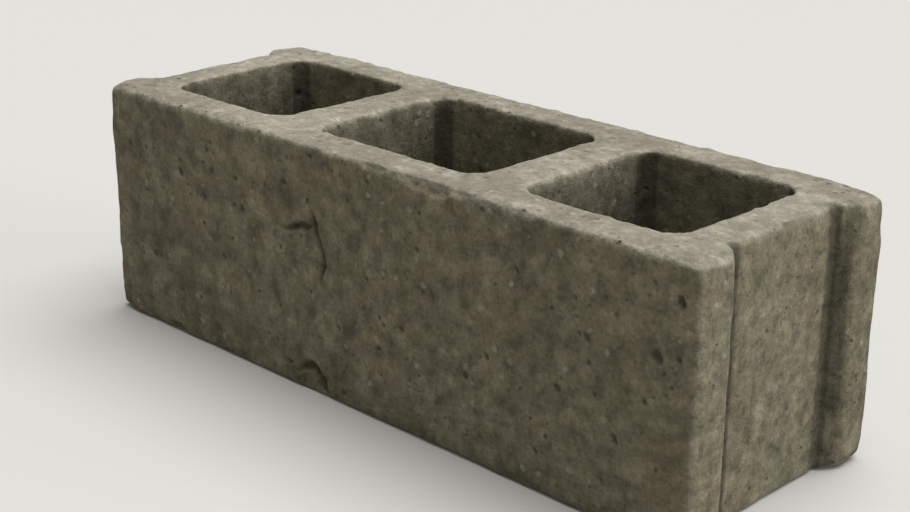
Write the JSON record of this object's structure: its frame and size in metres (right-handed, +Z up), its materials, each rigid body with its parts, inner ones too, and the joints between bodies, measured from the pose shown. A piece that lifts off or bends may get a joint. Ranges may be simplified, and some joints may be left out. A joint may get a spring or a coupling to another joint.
{
  "type": "hollow concrete block",
  "caption": "Long hollow concrete masonry block with open cells through its height and recessed, eared ends for mortar.",
  "frame": {"origin": "centre of the bottom bed face, at the middle of the block's length and width", "axes": "+X along the length, +Y across the width, +Z up, square to the bed faces"},
  "size_m": [0.59, 0.2, 0.19],
  "materials": {
    "concrete": "matte"
  },
  "bodies": {
    "root": {"concrete_block": "concrete"}
  },
  "joints": []
}
